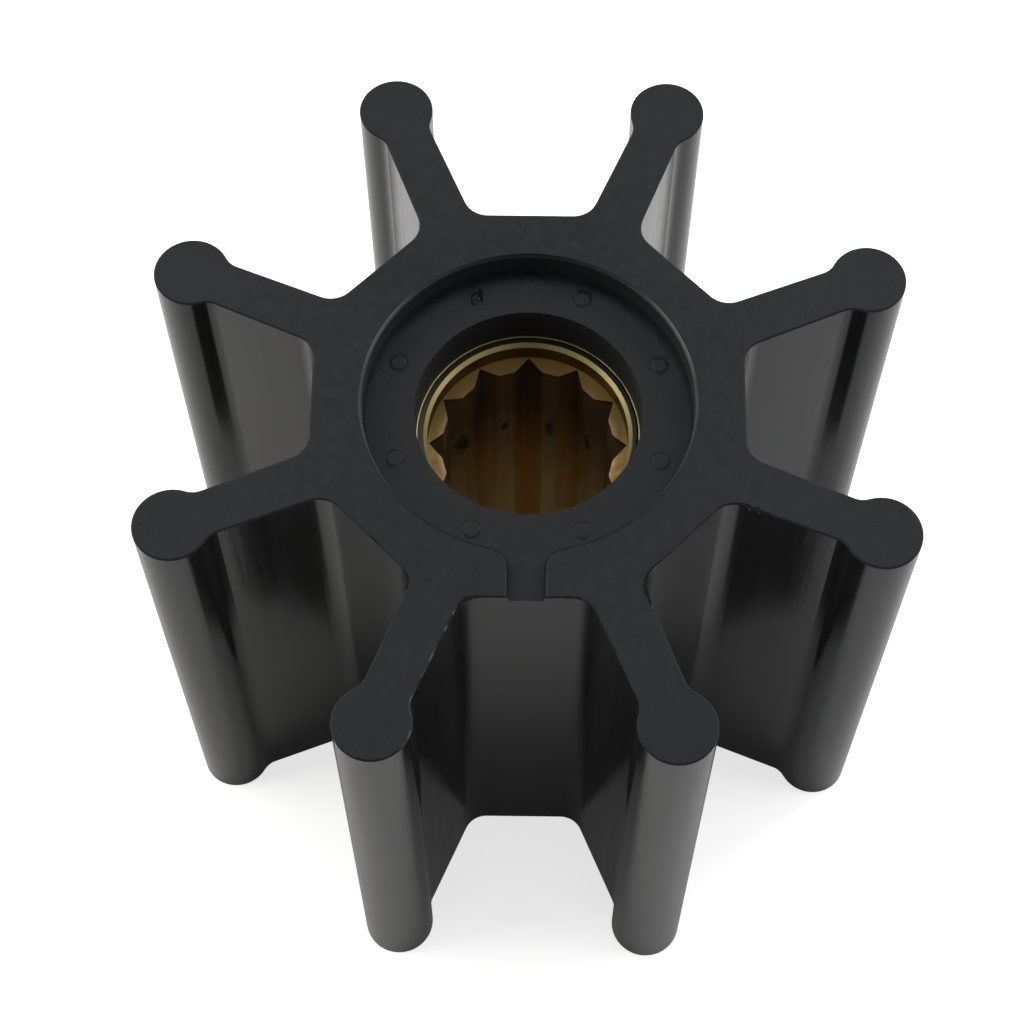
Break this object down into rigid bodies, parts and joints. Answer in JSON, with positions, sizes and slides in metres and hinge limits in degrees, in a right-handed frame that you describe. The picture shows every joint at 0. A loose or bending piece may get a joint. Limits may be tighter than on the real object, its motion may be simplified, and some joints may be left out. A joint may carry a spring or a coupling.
{
  "type": "pump impeller",
  "caption": "Flexible rubber pump impeller with round-tipped vanes moulded round a splined brass bush, with a notched recess in its top end.",
  "frame": {"origin": "centre of the bottom end face, on the shaft axis", "axes": "+Z along the shaft axis, up to the end with the notch; the notch points along -Y, midway between two vanes"},
  "size_m": [0.0884, 0.0884, 0.074],
  "materials": {
    "rubber": "matt moulded synthetic rubber, dark slate grey, satin on the vane sides",
    "brass": "machined brass, bright on the counterbore rim, dull brown in the splined bore"
  },
  "bodies": {
    "root": {"rubber_body": "rubber", "brass_insert": "brass"}
  },
  "joints": []
}
